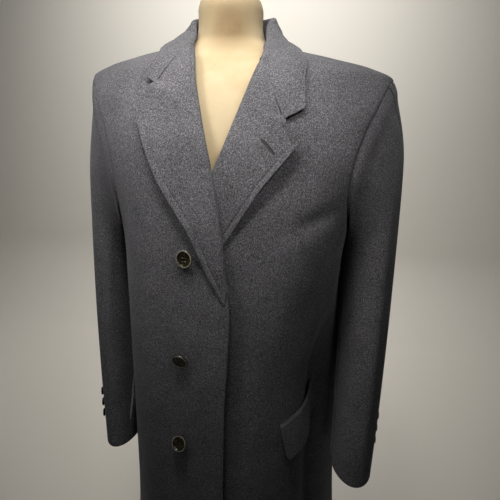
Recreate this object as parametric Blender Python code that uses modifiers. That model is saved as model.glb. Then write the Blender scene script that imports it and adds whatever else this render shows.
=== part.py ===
"""A single-breasted cashmere overcoat, worn open with its right front lapped over the left,
on a limbless dress form with a pole and a round base. Metres, +Z up, the front faces -Y, the wearer's
left is +X and the floor is z = 0. Heights in the tables are taken from the shoulder tip."""

import bmesh
import bpy
import math
import numpy as np
from mathutils import Matrix, Vector

# Driving sizes
SHOULDER_HEIGHT = 1.36   # shoulder tip above the floor
COAT_DROP = 1.00         # shoulder tip to hem
NECK_RISE = 0.058        # shoulder tip up to the neck seam
CLOTH = 0.0022           # wall of one layer of cloth
SEAM = 0.0003            # gap between pieces that are sewn together
LAY = 0.0010             # gap under a piece that lies on another
LAP_LIFT = 0.0062        # how far the right front stands off the left one
ARMHOLE_DROP = 0.235     # shoulder tip to underarm
SLEEVE_DROP = 0.664      # shoulder tip to the cuff
VENT_STEP = 0.008        # the under sleeve ends this much higher at the vent
SLEEVE_BLEND = 0.12      # length in which the armhole becomes the sleeve tube
FORE_SEAM = math.radians(168)   # seam on the inner side of the sleeve
HIND_SEAM = math.radians(28)    # seam on the outer side of the sleeve
FLAP_LENGTH = 0.118
FLAP_DEPTH = 0.068
FLAP_SLANT = math.radians(20)
BUTTON_RADIUS = 0.0127
CUFF_BUTTON_RADIUS = 0.0075
POLE_RADIUS = 0.016
BASE_RADIUS = 0.19
BASE_THICKNESS = 0.022

# Body sections: height, half width, front depth, back depth, middle x, middle y, right and left squareness
BODY = np.array([
    (-1.000, 0.212, 0.186, 0.158, 0.000, 0.004, 2.3, 2.1),
    (-0.750, 0.193, 0.175, 0.140, 0.000, 0.004, 2.4, 1.9),
    (-0.500, 0.181, 0.170, 0.122, 0.000, 0.004, 2.7, 1.9),
    (-0.320, 0.1765, 0.169, 0.121, 0.000, 0.006, 2.8, 2.3),
    (-0.270, 0.177, 0.168, 0.125, 0.000, 0.007, 2.8, 2.6),
    (-0.220, 0.183, 0.166, 0.129, 0.000, 0.008, 2.7, 2.7),
    (-0.165, 0.199, 0.162, 0.131, 0.000, 0.010, 2.6, 2.6),
    (-0.115, 0.218, 0.155, 0.129, 0.000, 0.012, 2.5, 2.5),
    (-0.075, 0.231, 0.146, 0.124, 0.000, 0.015, 2.4, 2.4),
    (-0.034, 0.239, 0.131, 0.114, 0.000, 0.018, 2.3, 2.3),
    (0.000, 0.235, 0.113, 0.100, 0.000, 0.020, 2.2, 2.2),
    (0.014, 0.209, 0.101, 0.090, -0.003, 0.021, 2.1, 2.1),
    (0.026, 0.163, 0.089, 0.081, -0.009, 0.022, 2.1, 2.1),
    (0.043, 0.096, 0.069, 0.069, -0.014, 0.024, 2.0, 2.0),
    (0.062, 0.066, 0.057, 0.061, -0.0135, 0.026, 2.0, 2.0),
    (0.080, 0.060, 0.054, 0.061, -0.0135, 0.026, 2.0, 2.0),
    (0.110, 0.058, 0.052, 0.064, -0.0135, 0.026, 2.0, 2.0),
])

# Form sections: height, half width, front depth, back depth, middle x, middle y, squareness
FORM = np.array([
    (-0.735, 0.004, 0.004, 0.004, 0.000, 0.004, 2.0),
    (-0.733, 0.100, 0.090, 0.070, 0.000, 0.004, 2.0),
    (-0.715, 0.138, 0.126, 0.098, 0.000, 0.004, 2.1),
    (-0.640, 0.148, 0.138, 0.108, 0.000, 0.004, 2.2),
    (-0.550, 0.145, 0.136, 0.104, 0.000, 0.004, 2.2),
    (-0.420, 0.137, 0.130, 0.098, 0.000, 0.004, 2.2),
    (-0.300, 0.150, 0.144, 0.104, 0.000, 0.006, 2.2),
    (-0.200, 0.164, 0.152, 0.116, 0.000, 0.008, 2.3),
    (-0.120, 0.182, 0.144, 0.116, 0.000, 0.012, 2.3),
    (-0.060, 0.192, 0.129, 0.108, 0.000, 0.016, 2.2),
    (-0.020, 0.194, 0.112, 0.097, 0.000, 0.019, 2.2),
    (0.004, 0.182, 0.094, 0.085, -0.002, 0.021, 2.1),
    (0.021, 0.155, 0.079, 0.073, -0.008, 0.022, 2.1),
    (0.038, 0.090, 0.061, 0.061, -0.014, 0.024, 2.0),
    (0.058, 0.0555, 0.050, 0.052, -0.017, 0.025, 2.0),
    (0.080, 0.0505, 0.049, 0.050, -0.0175, 0.025, 2.0),
    (0.097, 0.0505, 0.050, 0.050, -0.0175, 0.025, 2.0),
    (0.110, 0.0475, 0.047, 0.047, -0.0175, 0.025, 2.0),
    (0.117, 0.037, 0.036, 0.036, -0.0175, 0.025, 2.0),
    (0.119, 0.004, 0.004, 0.004, -0.0175, 0.025, 2.0),
])
FORM = np.column_stack([FORM, FORM[:, -1]])   # the form is as square on its left as on its right

# Free edge of each front, from the hem up the edge and then the roll line: height, x
EDGE_RIGHT = np.array([
    (-1.000, 0.004), (-0.647, 0.0047), (-0.478, 0.0056), (-0.405, 0.0088), (-0.326, 0.0114),
    (-0.272, 0.0078), (-0.235, 0.0033), (-0.189, -0.0034), (-0.132, -0.0145), (-0.070, -0.0310),
    (-0.020, -0.0445), (0.0325, -0.0587), (0.0355, -0.0668), (0.039, -0.0690), (0.062, -0.0755),
])
EDGE_LEFT = np.array([
    (-1.000, -0.078), (-0.500, -0.078), (-0.290, -0.0750), (-0.210, -0.0450), (-0.133, -0.0157),
    (-0.088, 0.0016), (-0.044, 0.0172), (0.001, 0.0322), (0.0125, 0.0362), (0.017, 0.0445), (0.030, 0.0500),
    (0.062, 0.0505),
])

# Lapel outline from the break up to the gorge: height on the roll line, then angle in degrees and
# height of the outer edge
LAPEL_RIGHT = np.array([
    (-0.284, 2.0, -0.3000), (-0.240, -6.2, -0.2600), (-0.191, -15.2, -0.2025), (-0.133, -28.4, -0.1420),
    (-0.075, -42.7, -0.0575), (-0.040, -39.6, -0.0220), (-0.012, -37.6, 0.0050), (0.012, -36.6, 0.0240),
    (0.0318, -36.8, 0.0330),
])
LAPEL_LEFT = np.array([
    (-0.290, -24.5, -0.2980), (-0.230, -10.5, -0.2540), (-0.190, 1.6, -0.2184), (-0.133, 17.2, -0.1481),
    (-0.080, 32.8, -0.0945), (-0.050, 27.4, -0.0650), (-0.026, 24.8, -0.0400), (-0.006, 23.2, -0.0150),
    (0.0110, 24.2, 0.0112),
])

# Collar stations from the right end round the back to the left end, angles in degrees:
# fold angle, fold height, edge angle, edge height
COLLAR = np.array([
    (-38.2, 0.0367, -45.6, -0.0140), (-48.0, 0.0500, -49.0, 0.0220), (-64.0, 0.0680, -66.0, 0.0370),
    (-90.0, 0.0850, -96.0, 0.0450), (-130.0, 0.0945, -133.0, 0.0390), (-180.0, 0.0985, -180.0, 0.0340),
    (-230.0, 0.0945, -227.0, 0.0390), (-270.0, 0.0865, -264.0, 0.0460), (-294.0, 0.0760, -298.0, 0.0350),
    (-308.0, 0.0500, -311.0, 0.0180), (-321.4, 0.0330, -319.0, -0.0080), (-334.5, 0.0147, -322.6, -0.0500),
])

# Each end of the collar from its fold along the gorge to the notch and its corner: share of the fall,
# angle, height
GORGE_RIGHT = np.array([
    (0.0, -38.2, 0.0367), (0.125, -37.2, 0.0248), (0.375, -38.1, 0.0056), (0.625, -40.0, -0.0208),
    (1.0, -45.6, -0.0140),
])
GORGE_LEFT = np.array([
    (0.0, -334.5, 0.0147), (0.25, -336.2, -0.0145), (0.5, -334.7, -0.0395), (0.625, -332.1, -0.0632),
    (1.0, -322.6, -0.0500),
])

# Each side: sign of x, front edge, lapel, angle of the cuff buttons round the sleeve, flap front angle,
# sleeve middle y at top and cuff, sleeve shift in x, sleeve half width share
SIDES = {
    "right": (
        -1, EDGE_RIGHT, LAPEL_RIGHT, math.radians(37), math.radians(-56), (0.058, -0.020, -0.008, 0.88),
    ),
    "left": (1, EDGE_LEFT, LAPEL_LEFT, math.radians(4), math.radians(31.4), (0.045, -0.056, 0.000, 1.0)),
}
FLAP_TOP = -0.521        # front top corner of a flap

# Sleeve tube: height, outer x, half width, half depth
SLEEVE = np.array([
    (-0.670, 0.2635, 0.0365, 0.0610), (-0.500, 0.2685, 0.0395, 0.0680), (-0.350, 0.2700, 0.0420, 0.0760),
    (-0.200, 0.2695, 0.0445, 0.0850), (-0.080, 0.2665, 0.0440, 0.0880), (0.000, 0.2610, 0.0430, 0.0860),
])

# Largest folds of the body: angle and half width in degrees, depth out, height where it starts and
# where it is full
FOLDS = np.array([
    (64.0, 13.0, -0.0270, -0.310, -0.460), (-74.0, 10.0, -0.0060, -0.520, -0.720),
    (22.0, 9.0, 0.0030, -0.600, -0.950),
    (-42.0, 10.0, 0.0040, -0.560, -0.950), (110.0, 17.0, 0.0340, -0.220, -0.400),
    (160.0, 12.0, -0.0060, -0.520, -0.950),
    (203.0, 12.0, -0.0070, -0.460, -0.920), (243.0, 11.0, 0.0060, -0.500, -0.920),
])

# Front buttons: angle in degrees, height
BUTTONS = ((-15.7, -0.2418), (-18.3, -0.3943), (-19.7, -0.5438))
CUFF_BUTTONS = (-0.612, -0.588, -0.564)

for old in list(bpy.data.objects):
    bpy.data.objects.remove(old, do_unlink=True)

parts = bpy.data.collections.new("cashmere_overcoat")
cutters = bpy.data.collections.new("cutters")
for collection in (parts, cutters):
    bpy.context.scene.collection.children.link(collection)


def material(name, colour, roughness, metallic=0.0):
    """A Principled surface."""
    made = bpy.data.materials.new(name)
    made.use_nodes = True
    shader = made.node_tree.nodes["Principled BSDF"]
    shader.inputs["Base Color"].default_value = (*colour, 1.0)
    shader.inputs["Roughness"].default_value = roughness
    shader.inputs["Metallic"].default_value = metallic
    return made


def table_at(table, height):
    """Each column of a table at the given heights, by monotone cubic pieces between the rows."""
    height = np.clip(height, table[0, 0], table[-1, 0])
    step = np.diff(table[:, 0])
    rise = np.diff(table[:, 1:], axis=0) / step[:, None]
    slope = np.zeros_like(table[:, 1:])
    slope[0], slope[-1] = rise[0], rise[-1]
    product = rise[:-1] * rise[1:]
    safe = np.where(product > 0, rise[:-1] + rise[1:], 1.0)
    slope[1:-1] = np.where(product > 0, 2.0 * product / safe, 0.0)
    row = np.clip(np.searchsorted(table[:, 0], height) - 1, 0, len(step) - 1)
    t = ((height - table[row, 0]) / step[row])[..., None]
    wide = step[row][..., None]
    low, high = table[row, 1:], table[row + 1, 1:]
    values = (
        (2 * t**3 - 3 * t**2 + 1) * low + (t**3 - 2 * t**2 + t) * wide * slope[row]
        + (3 * t**2 - 2 * t**3) * high + (t**3 - t**2) * wide * slope[row + 1]
    )
    return np.moveaxis(values, -1, 0)


def smooth(value, low, high):
    """0 below low, 1 above high, an S curve between."""
    t = np.clip((value - low) / (high - low), 0.0, 1.0)
    return t * t * (3.0 - 2.0 * t)


def ring_point(table, angle, height):
    """A point of a section: polar superellipse, angle 0 at the front, positive toward the wearer's left."""
    half, front, back, x, y, right, left = table_at(table, height)
    side, ahead = np.sin(angle), np.cos(angle)
    power = np.where(side > 0, left, right)
    depth = np.where(ahead > 0, front, back)
    reach = (np.abs(side / half) ** power + np.abs(ahead / depth) ** power) ** (-1.0 / power)
    return np.stack([x + reach * side, y - reach * ahead, height], axis=-1)


def folds(angle, height):
    """How far the folds move the body out: a bell across each fold, growing from its start down."""
    out = np.zeros(np.shape(angle))
    for middle, wide, depth, start, full in FOLDS:
        away = (np.degrees(angle) - middle + 180.0) % 360.0 - 180.0
        out = out + depth * np.exp(-((away / wide) ** 2)) * smooth(-height, -start, -full)
    return out


def body_point(angle, height):
    """A point of the coat body: its section, with the folds pushed along the section's radius."""
    point = ring_point(BODY, angle, height)
    push = folds(angle, height)
    point[..., 0] += push * np.sin(angle)
    point[..., 1] -= push * np.cos(angle)
    return point


def on_body(angle, height, out=0.0):
    """A point of the coat body moved out along its normal."""
    angle, height = np.broadcast_arrays(np.asarray(angle, float), np.asarray(height, float))
    e = 0.0004
    across = body_point(angle + e, height) - body_point(angle - e, height)
    up = body_point(angle, height + e) - body_point(angle, height - e)
    normal = np.cross(across, up)
    normal /= np.linalg.norm(normal, axis=-1, keepdims=True)
    return body_point(angle, height) + np.asarray(out)[..., None] * normal


def front_angle(x, height):
    """The angle on the front of the body at which a section reaches x."""
    half, front, back, middle, y, right, left = table_at(BODY, height)
    power = np.where(x > middle, left, right)
    share = np.clip(np.abs(x - middle) / half, 0.0, 0.9999)
    return np.arctan2(x - middle, front * (1.0 - share**power) ** (1.0 / power))


def armhole_angle(height, behind=False):
    """Angle of the armhole seam: the section's half width times 1 less a sine hump below the tip."""
    half, front, back, middle, y, power, left = table_at(BODY, height)
    along = np.clip(-height / ARMHOLE_DROP, 0.0, 1.0)
    hump = np.abs(np.sin(np.pi * along**0.85)) ** (0.75 + 0.5 * along)
    share = 1.0 - (0.19 if behind else 0.215) * hump
    depth = (back if behind else front) * np.clip(1.0 - share**power, 0.0, 1.0) ** (1.0 / power)
    angle = np.arctan2(share * half, depth)
    return np.pi - angle if behind else angle


def lap(angle, height):
    """How far the right front stands off the body where it lies over the left front."""
    x = ring_point(BODY, angle, height)[..., 0]
    return LAP_LIFT * smooth(x, -0.17, -0.11) * (1.0 - smooth(height, -0.11, -0.02))


def finish(name, mesh, surface):
    """Links a mesh as a named part, at the floor's frame, shaded smooth."""
    part = bpy.data.objects.new(name, mesh)
    mesh.materials.append(surface)
    mesh.shade_smooth()
    parts.objects.link(part)
    return part


def sheet(name, surface_at, columns, rows, surface, wall=CLOTH, to=1.0):
    """A grid bent onto surface_at(u, v), u and v from 0 to 1; its wall is outside, or inside with to = -1."""
    shape = bmesh.new()
    bmesh.ops.create_grid(shape, x_segments=columns, y_segments=rows, size=0.5)
    flat = np.array([vertex.co for vertex in shape.verts]) + 0.5
    bent = surface_at(flat[:, 0], flat[:, 1]) + np.array((0.0, 0.0, SHOULDER_HEIGHT))
    for vertex, point in zip(shape.verts, bent):
        vertex.co = point
    mesh = bpy.data.meshes.new(name)
    shape.to_mesh(mesh)
    shape.free()
    part = finish(name, mesh, surface)
    thick = part.modifiers.new("wall", "SOLIDIFY")
    thick.thickness = wall
    thick.offset = to
    return part


CLOTH_GREY = (0.030, 0.031, 0.036)
cloth_of = {}


def cloth(name):
    """Each cloth piece's own charcoal cashmere."""
    cloth_of[name] = material("cashmere_" + name, CLOTH_GREY, 0.95)
    return cloth_of[name]


# Fronts and back: rows from the hem to the neck, columns from seam to edge
BACK_ROWS = np.array([
    -COAT_DROP, -0.90, -0.80, -0.70, -0.61, -0.54, -0.48, -0.42, -0.35, -0.28, -ARMHOLE_DROP,
    -0.222, -0.195, -0.160, -0.120, -0.085, -0.055, -0.032, -0.017, -0.008, -0.003, 0.0, 0.009, 0.018,
    0.027, 0.036, 0.047, NECK_RISE,
])
FRONT_ROWS = np.where(BACK_ROWS == -0.003, -0.0014, BACK_ROWS)


def row_height(v, rows):
    return np.interp(v, np.linspace(0.0, 1.0, len(rows)), rows)


def outer_angle(height, behind):
    """Side seam below the underarm, armhole above it, shoulder seam above the tip, less half the seam gap."""
    angle = np.where(height < -ARMHOLE_DROP, np.pi / 2, armhole_angle(height, behind))
    angle = np.where(height > -0.0001, np.pi / 2, angle)
    gap = SEAM / np.clip(table_at(BODY, height)[0], 0.06, 1.0)
    return angle + gap if behind else angle - gap


def front_panel(side):
    sign, edge = SIDES[side][:2]

    def surface_at(u, v):
        height = row_height(v, FRONT_ROWS)
        inner = front_angle(table_at(edge, height)[0], height)
        outer = sign * outer_angle(height, False)
        share = u if sign > 0 else 1.0 - u
        angle = inner + (outer - inner) * share
        out = lap(angle, height) if sign < 0 else 0.0 * angle
        return on_body(angle, height, out)

    return surface_at


def back_panel(u, v):
    height = row_height(v, BACK_ROWS)
    start = outer_angle(height, True)
    angle = start + (2.0 * np.pi - 2.0 * start) * u
    return on_body(angle, height, 0.0 * angle)


for side in SIDES:
    name = "front_" + side
    sheet(name, front_panel(side), 14, len(FRONT_ROWS) - 1, cloth(name))
sheet("back", back_panel, 16, len(BACK_ROWS) - 1, cloth("back"))


# Lapels: from the roll line to the outer edge, lying on the fronts
def lapel(side):
    sign, edge, outline = SIDES[side][:3]

    def surface_at(u, v):
        station = np.linspace(0.0, 1.0, len(outline))
        across = u if sign > 0 else 1.0 - u
        roll_height = np.interp(v, station, outline[:, 0])
        roll_angle = front_angle(table_at(edge, roll_height)[0], roll_height)
        edge_angle = np.radians(np.interp(v, station, outline[:, 1]))
        edge_height = np.interp(v, station, outline[:, 2])
        height = roll_height + (edge_height - roll_height) * across
        angle = roll_angle + (edge_angle - roll_angle) * across
        under = lap(angle, height) if sign < 0 else 0.0
        belly = 0.0025 * np.sin(np.pi * across**0.7) * smooth(height, -0.16, -0.06)
        belly = belly + 0.0014 * smooth(height, -0.07, 0.0)
        return on_body(angle, height, under + CLOTH + LAY + belly)

    return surface_at


for side in SIDES:
    name = "lapel_" + side
    sheet(name, lapel(side), 5, 2 * (len(SIDES[side][2]) - 1), cloth(name))


# Collar: stand up from the neck seam, fold, and fall down over the stand and the fronts to the outer edge
def off_line(rows, column):
    """How far one column of a table runs off the straight line from its first row to its last."""
    values = rows[:, column]
    return values - values[0] - rows[:, 0] * (values[-1] - values[0])


def collar_at(u, v):
    """u runs from the right end to the left end, v from the stand's seam over the fold to the outer edge.
    The fold rises square to its own line, and at both ends the fall follows the gorge."""
    rows = np.column_stack([np.linspace(0.0, 1.0, len(COLLAR)), COLLAR])
    fold_angle, fold_height, edge_angle, edge_height = table_at(rows, u)
    from_middle = np.abs(2.0 * u - 1.0)
    end = smooth(from_middle, 0.70, 1.0)
    slope = 0.5 * np.pi * smooth(from_middle, 0.45, 1.0)
    rise = np.clip(v * 6.0, 0.0, 1.0)
    turn = np.clip((v - 1.0 / 6.0) * 6.0, 0.0, 1.0)
    fall = np.clip((v - 1.0 / 3.0) * 1.5, 0.0, 1.0)
    stand = np.clip(fold_height - NECK_RISE - 0.0012, 0.004, 1.0)
    inside = smooth(from_middle, 0.40, 0.75)
    middle, thick = 0.0031 - 0.0021 * inside, 0.0031 + 0.0006 * inside
    crest = thick * np.sin(np.pi * turn) - stand * (1.0 - rise)
    ends = (GORGE_RIGHT, GORGE_LEFT)
    bend_angle, bend_height = (
        np.where(u < 0.5, *(np.interp(fall, gorge[:, 0], off_line(gorge, column)) for gorge in ends))
        for column in (1, 2)
    )
    angle = np.radians(fold_angle + (edge_angle - fold_angle) * fall + bend_angle * end)
    angle = angle + np.where(u < 0.5, 1.0, -1.0) * crest * np.sin(slope) / table_at(BODY, fold_height)[1]
    height = fold_height + (edge_height - fold_height) * fall + bend_height * end
    height = height + crest * np.cos(slope)
    bridge = 0.0060 * np.sin(np.pi * fall) * (1.0 - 0.7 * end)
    return on_body(angle, height, middle - thick * np.cos(np.pi * turn) - 0.0010 * fall + bridge)


sheet("collar", collar_at, 26, 12, cloth("collar"), 0.0018)


# Sleeves: lines from the armhole seam that settle onto an oval tube
def armhole_point(turn):
    """A point of the left armhole seam, turn 0 at the tip, a quarter at the front, half at the underarm."""
    along = np.linspace(0.0, 1.0, 241)
    height = -ARMHOLE_DROP * 0.5 * (1.0 - np.cos(np.pi * along))
    halves = []
    for behind in (False, True):
        curve = on_body(armhole_angle(height, behind), height, np.full_like(height, CLOTH))
        length = np.concatenate([[0.0], np.cumsum(np.linalg.norm(np.diff(curve, axis=0), axis=1))])
        halves.append((curve, length / length[-1]))
    turn = np.mod(turn, 1.0)
    share = np.where(turn < 0.5, turn * 2.0, 2.0 - turn * 2.0)
    picked = [np.stack([np.interp(share, s, c[:, k]) for k in range(3)], axis=-1) for c, s in halves]
    return np.where((turn < 0.5)[..., None], picked[0], picked[1])


def sleeve(side, start, stop, cuff_drop):
    sign = SIDES[side][0]
    top_y, cuff_y, shift, share_wide = SIDES[side][5]

    def surface_at(u, v):
        share = u if sign > 0 else 1.0 - u
        angle = start + (stop - start) * share
        begin = armhole_point(angle / (2.0 * np.pi)) + np.array((0.0024, 0.0, -0.0006))
        begin[:, 0] += 0.0014 * np.clip(np.cos(angle), 0.0, 1.0)
        height = begin[:, 2] - (begin[:, 2] + cuff_drop) * v**1.15
        outer, half, deep = table_at(SLEEVE, height)
        outer, half = outer + shift, half * share_wide
        middle = top_y + (cuff_y - top_y) * np.clip(-height / SLEEVE_DROP, 0.0, 1.0)
        tube_x = outer - half + half * np.cos(angle)
        tube_y = middle - deep * np.sin(angle)
        mix = 1.0 - (1.0 - np.clip((begin[:, 2] - height) / SLEEVE_BLEND, 0.0, 1.0)) ** 2.2
        x = begin[:, 0] + (tube_x - begin[:, 0]) * mix
        y = begin[:, 1] + (tube_y - begin[:, 1]) * mix
        return np.stack([sign * x, y, height], axis=-1)

    return surface_at


half_gap = 0.012
for side in SIDES:
    name = "top_sleeve_" + side
    half_tube = sleeve(side, HIND_SEAM + half_gap, FORE_SEAM - half_gap, SLEEVE_DROP)
    sheet(name, half_tube, 8, 15, cloth(name), CLOTH, -1.0)
    name = "under_sleeve_" + side
    ends = (FORE_SEAM + half_gap, HIND_SEAM + 2.0 * math.pi - half_gap)
    sheet(name, sleeve(side, *ends, SLEEVE_DROP - VENT_STEP), 8, 15, cloth(name), CLOTH, -1.0)


# Pocket flaps: points of the fronts moved out, the lower edge a little proud and the back end
# bridging the side fold
def flap(side):
    sign, first = SIDES[side][0], SIDES[side][4]

    def surface_at(u, v):
        share = u if sign > 0 else 1.0 - u
        length = FLAP_LENGTH * share
        down = FLAP_DEPTH * (1.0 - v)
        height = FLAP_TOP + length * math.sin(FLAP_SLANT) - down
        angle = first + sign * (length * math.cos(FLAP_SLANT) + 0.18 * down) / 0.182
        under = lap(angle, height) if sign < 0 else 0.0
        proud = 0.0030 * (1.0 - v) ** 1.5 * (1.0 - smooth(share, 0.1, 0.6))
        bridge = 0.2 * np.clip(-folds(angle, height), 0.0, 1.0)
        return on_body(angle, height, under + CLOTH + LAY + 0.0010 + proud + bridge)

    return surface_at


for side in SIDES:
    name = "pocket_flap_" + side
    sheet(name, flap(side), 12, 4, cloth(name))


# Buttons: turned profiles laid on the cloth
def turned(name, profile, segments, surface):
    """A profile of radius and height, run down its outer side, turned about Z."""
    mesh = bpy.data.meshes.new(name)
    points = [(radius, 0.0, height) for radius, height in profile]
    mesh.from_pydata(points, [(k, k + 1) for k in range(len(points) - 1)], [])
    part = finish(name, mesh, surface)
    screw = part.modifiers.new("turn", "SCREW")
    screw.steps = segments
    screw.render_steps = segments
    screw.use_merge_vertices = True
    screw.merge_threshold = 0.00005
    return part


def laid(point, normal):
    """The placing that puts a part's +Z along the normal at the point."""
    return Matrix.Translation(Vector(point)) @ Vector(normal).to_track_quat("Z", "Y").to_matrix().to_4x4()


BUTTON = (
    (0.0, 0.0026), (0.62, 0.0027), (0.78, 0.0044), (0.93, 0.0046), (1.0, 0.0034), (0.95, 0.0016),
    (0.6, 0.0), (0.0, 0.0),
)
CUFF_BUTTON = ((0.0, 0.0024), (0.7, 0.0026), (0.95, 0.0030), (1.0, 0.0018), (0.7, 0.0), (0.0, 0.0))
horn = material("dark_horn", (0.012, 0.011, 0.008), 0.25)

for number, (degrees, height) in enumerate(BUTTONS, 1):
    name = "front_button_%d" % number
    angle = np.radians(np.array([degrees]))
    out = lap(angle, np.array([height])) + CLOTH + LAY + 0.0006
    seat = on_body(angle, np.array([height]), out)[0]
    normal = on_body(angle, np.array([height]), out + 0.01)[0] - seat
    part = turned(name, [(r * BUTTON_RADIUS, z) for r, z in BUTTON], 20, horn)
    part.matrix_world = laid(seat + np.array((0.0, 0.0, SHOULDER_HEIGHT)), normal)
    for hole in range(4):
        turn = math.pi * (0.25 + 0.5 * hole)
        bpy.ops.mesh.primitive_cylinder_add(vertices=8, radius=0.0011, depth=0.02)
        cutter = bpy.context.object
        cutter.name = "hole_%d_%d" % (number, hole + 1)
        cutter.users_collection[0].objects.unlink(cutter)
        cutters.objects.link(cutter)
        place = Matrix.Translation((0.0031 * math.cos(turn), 0.0031 * math.sin(turn), 0.0))
        cutter.matrix_world = part.matrix_world @ place
        cutter.hide_render = True
        cutter.display_type = "WIRE"
        cut = part.modifiers.new("hole", "BOOLEAN")
        cut.operation = "DIFFERENCE"
        cut.object = cutter

for side in SIDES:
    for number, height in enumerate(CUFF_BUTTONS, 1):
        name = "cuff_button_%s_%d" % (side, number)
        tube = sleeve(side, SIDES[side][3] - 0.01, SIDES[side][3] + 0.01, SLEEVE_DROP)
        start = tube(np.array([0.5]), np.array([0.0]))[0, 2]
        v = np.full(3, ((start - height) / (start + SLEEVE_DROP)) ** (1.0 / 1.15))
        here, across, along = tube(np.array([0.5, 1.0, 0.5]), v + np.array((0.0, 0.0, 0.02)))
        normal = Vector(np.cross(across - here, along - here)).normalized()
        part = turned(name, [(r * CUFF_BUTTON_RADIUS, z) for r, z in CUFF_BUTTON], 12, horn)
        seat = Vector(here) + normal * LAY + Vector((0.0, 0.0, SHOULDER_HEIGHT))
        part.matrix_world = laid(seat, normal)

# Dress form: a whole padded torso, a pole and a round base
linen = material("form_linen", (0.80, 0.66, 0.45), 0.85)
steel = material("painted_steel", (0.55, 0.54, 0.52), 0.45, 0.3)

shape = bmesh.new()
bmesh.ops.create_uvsphere(shape, u_segments=24, v_segments=28, radius=1.0)
ball = np.array([vertex.co for vertex in shape.verts])
level = np.arcsin(np.clip(ball[:, 2], -1.0, 1.0)) / np.pi + 0.5
stations = np.concatenate([[0.0, 0.034, 0.067], np.linspace(0.11, 0.89, len(FORM) - 6), [0.933, 0.967, 1.0]])
form_height = np.interp(level, stations, FORM[:, 0])
pole_end = np.clip(np.minimum(level, 1.0 - level) / 0.02, 0.0, 1.0)
round_angle = np.arctan2(ball[:, 1], ball[:, 0]) + np.pi / 2
torso = ring_point(FORM, round_angle, form_height)
middle = np.stack([*table_at(FORM, form_height)[3:5], form_height], axis=-1)
torso = middle + (torso - middle) * pole_end[:, None] + np.array((0.0, 0.0, SHOULDER_HEIGHT))
for vertex, point in zip(shape.verts, torso):
    vertex.co = point
mesh = bpy.data.meshes.new("form_torso")
shape.to_mesh(mesh)
shape.free()
finish("form_torso", mesh, linen)

pole_top = SHOULDER_HEIGHT + FORM[0, 0] - SEAM
pole_foot = BASE_THICKNESS + SEAM
bpy.ops.mesh.primitive_cylinder_add(vertices=24, radius=POLE_RADIUS, depth=pole_top - pole_foot,
                                    location=(0.0, 0.004, (pole_top + pole_foot) / 2))
pole = bpy.context.object
pole.name = "form_pole"
pole.users_collection[0].objects.unlink(pole)
parts.objects.link(pole)
pole.data.materials.append(steel)
BASE = (
    (0.0, BASE_THICKNESS), (0.03, BASE_THICKNESS), (0.18, 0.014), (BASE_RADIUS - 0.002, 0.010),
    (BASE_RADIUS, 0.006), (BASE_RADIUS, 0.001), (BASE_RADIUS - 0.001, 0.0), (0.0, 0.0),
)
turned("form_base", BASE, 40, steel)
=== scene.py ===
"""A charcoal cashmere overcoat hanging on a limbless dress form.

Metres, +Z up. The coat's front faces -Y and +X is the wearer's left. Heights in the tables are measured
from the shoulder tip. Angles go round the body from 0 at the front, positive toward the wearer's left.
"""

import math

import bmesh
import bpy
import numpy as np
from mathutils import Matrix, Vector


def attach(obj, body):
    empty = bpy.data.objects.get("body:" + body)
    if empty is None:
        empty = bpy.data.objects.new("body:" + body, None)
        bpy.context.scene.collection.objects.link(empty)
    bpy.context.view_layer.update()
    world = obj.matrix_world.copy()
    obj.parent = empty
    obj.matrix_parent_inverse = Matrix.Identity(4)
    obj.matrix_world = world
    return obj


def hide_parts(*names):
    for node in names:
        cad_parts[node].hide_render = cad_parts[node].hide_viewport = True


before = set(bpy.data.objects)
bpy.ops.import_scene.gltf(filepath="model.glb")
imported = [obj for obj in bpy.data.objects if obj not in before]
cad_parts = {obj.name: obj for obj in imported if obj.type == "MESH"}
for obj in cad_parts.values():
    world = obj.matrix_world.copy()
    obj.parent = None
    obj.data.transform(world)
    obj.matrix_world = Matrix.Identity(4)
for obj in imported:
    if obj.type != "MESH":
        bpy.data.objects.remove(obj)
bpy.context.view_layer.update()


# Stand of the dress form: a round base of spun steel and a pole of steel tube, sprayed with satin grey paint.
# The pole screws into the base and runs up into the torso.
TIP = 1.36
PAINT_GREY, PAINT_WORN = "#bdbab4", "#a29f99"
BASE_PROFILE = np.array([
    (0.0, 0.0), (0.186, 0.0), (0.1885, 0.0006), (0.1900, 0.0022), (0.1900, 0.0055), (0.1888, 0.0088),
    (0.1850, 0.0108), (0.1750, 0.0142), (0.0420, 0.0214), (0.0300, 0.0220), (0.0, 0.0220),
])
POLE_PROFILE = np.array([
    (0.0, 0.0223), (0.0155, 0.0223), (0.0160, 0.0228), (0.0160, 0.6242), (0.0155, 0.6247), (0.0, 0.6247),
])


def linear(code):
    """Linear colour of an sRGB hex code: each channel as a share of 255, with the sRGB curve undone."""
    share = np.array([int(code[k:k + 2], 16) for k in (1, 3, 5)]) / 255.0
    return (*np.where(share <= 0.04045, share / 12.92, ((share + 0.055) / 1.055) ** 2.4), 1.0)


def add_node(tree, kind, settings, links=()):
    """Adds a node. Settings name an attribute or an input socket; links pair an input with what feeds it."""
    node = tree.nodes.new(kind)
    for name, value in settings.items():
        if name in node.inputs:
            node.inputs[name].default_value = value
        else:
            setattr(node, name, value)
    for name, source in links:
        tree.links.new(source, node.inputs[name])
    return node


def fresh_finish(name):
    """A new material with its node tree, its shader and the object's own coordinates."""
    made = bpy.data.materials.new(name)
    made.use_nodes = True
    tree = made.node_tree
    place = add_node(tree, "ShaderNodeTexCoord", {}).outputs["Object"]
    return made, tree, tree.nodes["Principled BSDF"], place


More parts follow.
